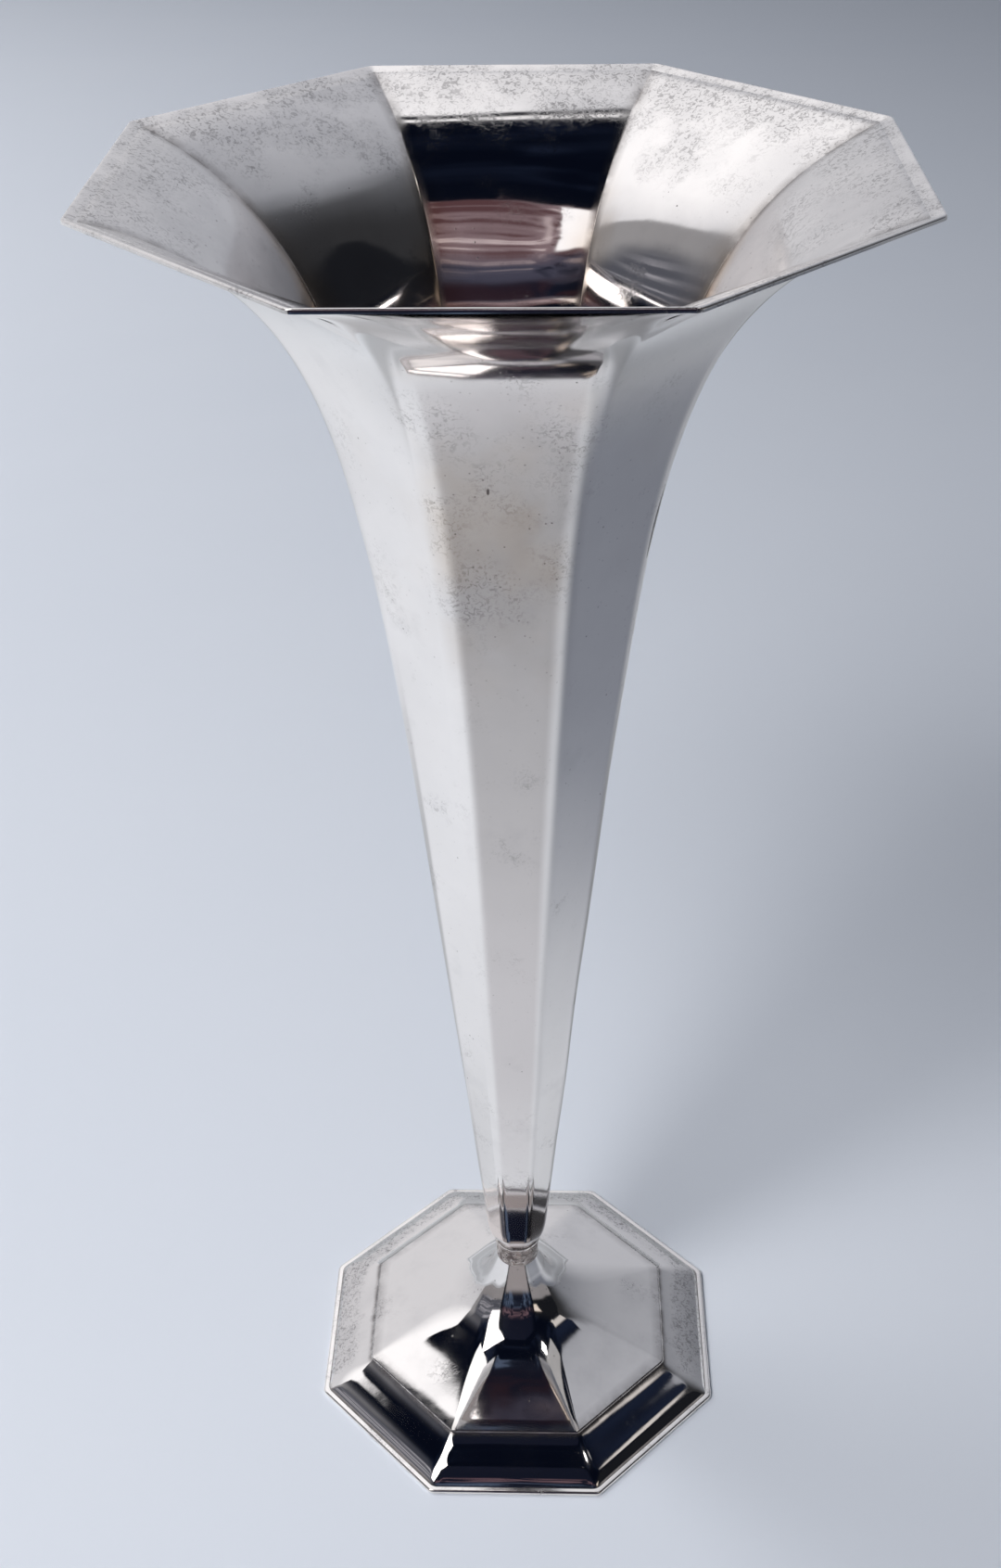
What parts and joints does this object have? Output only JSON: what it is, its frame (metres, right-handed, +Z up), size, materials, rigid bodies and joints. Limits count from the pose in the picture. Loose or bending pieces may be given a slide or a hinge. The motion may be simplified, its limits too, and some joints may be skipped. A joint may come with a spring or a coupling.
{
  "type": "silver trumpet vase",
  "caption": "Tall eight-sided trumpet vase in polished silver, flaring to a wired lip, on a collared neck and a moulded eight-sided foot, for cut flowers.",
  "frame": {"origin": "centre of the foot, on the level that the vase stands on", "axes": "+Z up along the vase's axis; one flat of the octagon faces -Y, the side the picture shows, and +X is to its right"},
  "size_m": [0.142, 0.142, 0.305],
  "materials": {
    "body_silver": "polished sterling silver with fine wear and a light tarnish",
    "wire_silver": "polished sterling silver wire",
    "collar_silver": "pitted silver, darkened with tarnish",
    "foot_silver": "polished sterling silver with tarnish in the mouldings"
  },
  "bodies": {
    "root": {"trumpet_body": "body_silver", "rim_wire": "wire_silver", "end_cup": "body_silver", "neck_collar": "collar_silver", "foot_shell": "foot_silver", "foot_wire": "wire_silver"}
  },
  "joints": []
}
